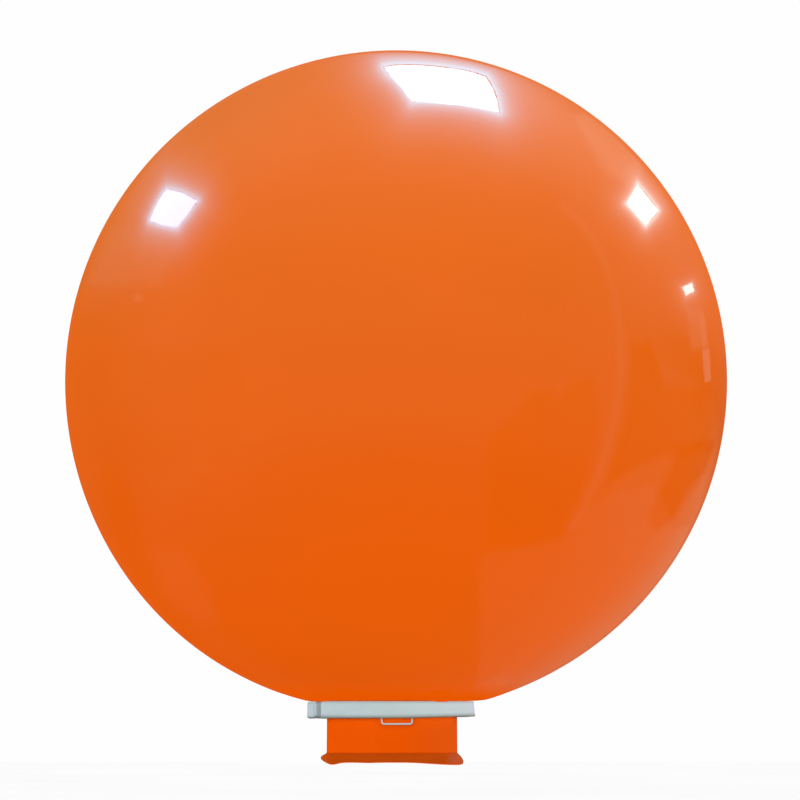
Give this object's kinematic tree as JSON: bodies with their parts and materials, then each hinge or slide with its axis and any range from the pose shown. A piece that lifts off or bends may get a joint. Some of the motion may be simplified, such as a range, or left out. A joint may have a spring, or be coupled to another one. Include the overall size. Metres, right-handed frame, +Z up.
{
  "type": "climb-in balloon",
  "caption": "Giant round latex balloon, neck down, wide enough to climb into: a hollow envelope, a flat wide neck with a thick lip, and a long hinged bar clip that pinches the neck shut.",
  "frame": {"origin": "centre of the round envelope, on the mount air", "axes": "+Z up, away from the neck; the clip's front and pull loop face -Y, and its hinge is towards -X"},
  "size_m": [1.7996, 1.7996, 1.9368],
  "materials": {
    "latex": "taut glossy orange latex",
    "thick_latex": "thick unstretched latex, darker orange, satin",
    "clip_plastic": "pale blue-grey moulded plastic, satin"
  },
  "bodies": {
    "balloon": {"envelope": "latex", "neck": "latex", "mouth_lip": "thick_latex", "clip_rear_bar": "clip_plastic", "hinge_pin": "clip_plastic"},
    "clip_arm": {"clip_front_bar": "clip_plastic", "pull_loop": "clip_plastic"}
  },
  "joints": [
    {"name": "clip_hinge", "type": "hinge", "parent": "balloon", "child": "clip_arm", "pos_m": [-0.2235, 0, -0.894], "axis": [0, 0, -1], "range_deg": [0, 120]}
  ]
}
